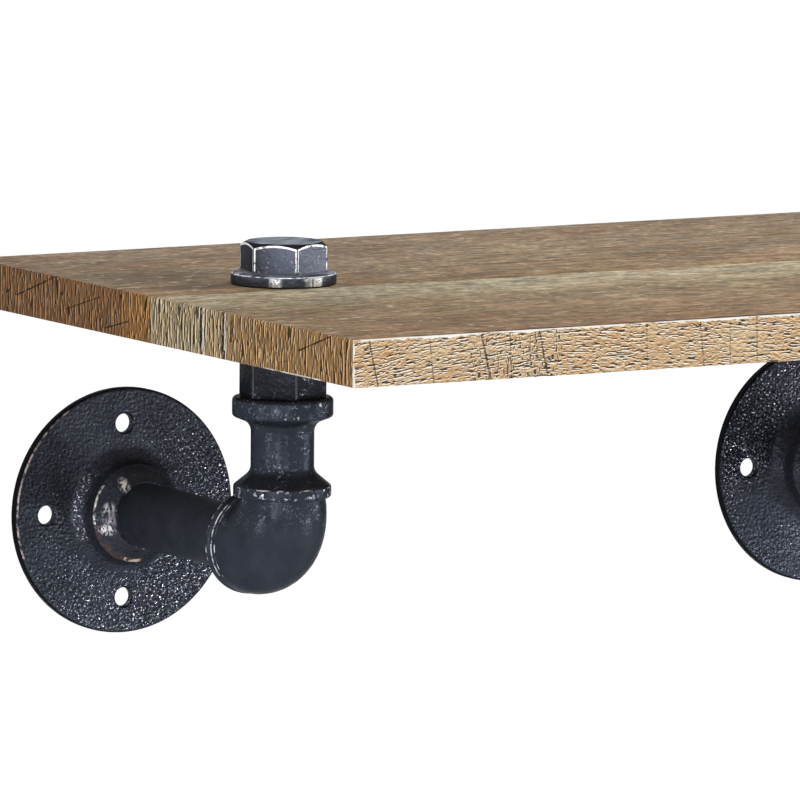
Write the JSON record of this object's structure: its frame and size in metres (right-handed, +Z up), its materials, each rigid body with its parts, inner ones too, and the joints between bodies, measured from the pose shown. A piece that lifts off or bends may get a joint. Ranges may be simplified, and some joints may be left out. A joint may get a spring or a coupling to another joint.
{
  "type": "wall shelf on pipe brackets",
  "caption": "Wall shelf with a wood-print board clamped on brackets of black cast pipe fittings: wall flange, nipple, elbow, waisted spool, hexagonal sleeve and flanged cap.",
  "frame": {"origin": "on the wall plane, midway between the two wall flanges, at the height of their wall nipples", "axes": "+X right along the wall, +Y into the wall so the shelf's front looks along -Y, +Z up"},
  "size_m": [0.386, 0.254, 0.1412],
  "materials": {
    "cast_flange": "black paint over pebbly sand-cast iron, semi-gloss",
    "black_pipe": "black paint over smooth drawn pipe, satin",
    "cast_fitting": "black paint over cast iron, satin with small pits",
    "cap_iron": "dark grey paint over cast iron, edges worn bright",
    "face_print": "matte wood-print laminate, grey-brown with fine streaks along the board",
    "end_print": "matte wood-print edge band, brown with upright saw streaks",
    "front_print": "matte wood-print edge band, light tan with dark cracks",
    "board_core": "raw chipboard"
  },
  "bodies": {
    "root": {"left_wall_flange": "cast_flange", "left_wall_nipple": "black_pipe", "left_elbow": "cast_fitting", "left_riser_spool": "cast_fitting", "left_hex_sleeve": "cast_fitting", "left_flanged_cap": "cap_iron", "right_wall_flange": "cast_flange", "right_wall_nipple": "black_pipe", "right_elbow": "cast_fitting", "right_riser_spool": "cast_fitting", "right_hex_sleeve": "cast_fitting", "right_flanged_cap": "cap_iron", "board_core": "board_core", "top_laminate": "face_print", "bottom_laminate": "face_print", "left_edge_band": "end_print", "right_edge_band": "end_print", "front_edge_band": "front_print", "rear_edge_band": "front_print"}
  },
  "joints": []
}
